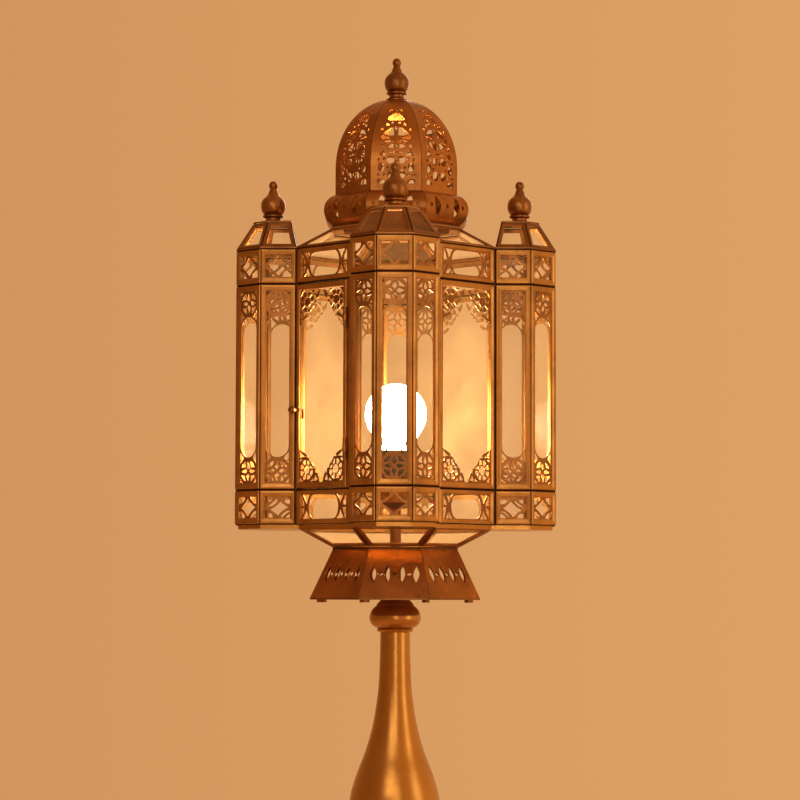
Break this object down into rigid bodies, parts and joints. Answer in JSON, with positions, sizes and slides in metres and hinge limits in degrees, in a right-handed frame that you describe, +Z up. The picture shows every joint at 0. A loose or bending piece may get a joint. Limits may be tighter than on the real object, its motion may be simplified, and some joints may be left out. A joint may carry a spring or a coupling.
{
  "type": "lantern table lamp",
  "caption": "Table lamp with a glazed lantern of pierced brass, corner turrets and a ribbed dome, on a bottle-shaped stem; a diagonal panel opens as a door.",
  "frame": {"origin": "centre of the felt pad's underside, where the lamp rests", "axes": "+Z up along the lamp tube; -Y is the front, towards the viewer; +X is the viewer's right"},
  "size_m": [0.2876, 0.2876, 0.7877],
  "materials": {
    "brass": "aged cast brass, brushed on the raised frames",
    "turned_brass": "turned and spun brass, satin",
    "pane": "clear glass",
    "bulb": "opal glass",
    "steel": "plain steel",
    "cap_metal": "thin plated sheet",
    "iron": "rough cast",
    "felt": "pressed felt",
    "bakelite": "moulded",
    "rubber": "moulded"
  },
  "bodies": {
    "lamp": {"band_strips": "brass", "collar": "brass", "corner_posts": "brass", "crown_ring": "brass", "dome": "brass", "dome_finial": "turned_brass", "eaves_ring": "brass", "felt_pad": "felt", "floor_tray": "brass", "foot": "turned_brass", "foot_weight": "iron", "funnel_frames": "brass", "funnel_glass": "pane", "hinge_jamb": "brass", "hinge_pins": "steel", "holder_cap": "brass", "holder_shell": "bakelite", "inlet_grommet": "rubber", "lamp_tube": "steel", "main_roof_frames": "brass", "panel_back_left": "brass", "panel_back_right": "brass", "panel_front_right": "brass", "panel_glass": "pane", "roof_glass": "pane", "skirt": "brass", "skirt_plate": "brass", "skirt_screws": "steel", "stem_knob": "turned_brass", "strip_glass": "pane", "throat_ring": "brass", "tube_nuts": "steel", "turret_back_bands": "brass", "turret_back_glass": "pane", "turret_back_grilles": "brass", "turret_back_roof": "brass", "turret_finials": "turned_brass", "turret_front_bands": "brass", "turret_front_glass": "pane", "turret_front_grilles": "brass", "turret_front_roof": "brass", "turret_left_bands": "brass", "turret_left_glass": "pane", "turret_left_grilles": "brass", "turret_left_roof": "brass", "turret_right_bands": "brass", "turret_right_glass": "pane", "turret_right_grilles": "brass", "turret_right_roof": "brass", "vase": "turned_brass"},
    "door": {"door_panel": "brass", "door_glass": "pane"},
    "latch": {"door_knob": "turned_brass", "latch_tab": "brass"},
    "bulb": {"bulb_cap": "cap_metal", "bulb_glass": "bulb"}
  },
  "joints": [
    {"name": "door_hinge", "type": "hinge", "parent": "lamp", "child": "door", "pos_m": [-0.04381, -0.08669, 0.485], "axis": [0, 0, 1], "range_deg": [0, 110]},
    {"name": "latch_turn", "type": "hinge", "parent": "door", "child": "latch", "pos_m": [-0.08634, -0.04169, 0.4638], "axis": [0.7071, 0.7071, 0], "range_deg": [0, 90]},
    {"name": "bulb_turn", "type": "hinge", "parent": "lamp", "child": "bulb", "pos_m": [0, 0, 0.43], "axis": [0, 0, 1], "range_deg": [0, 720]}
  ]
}
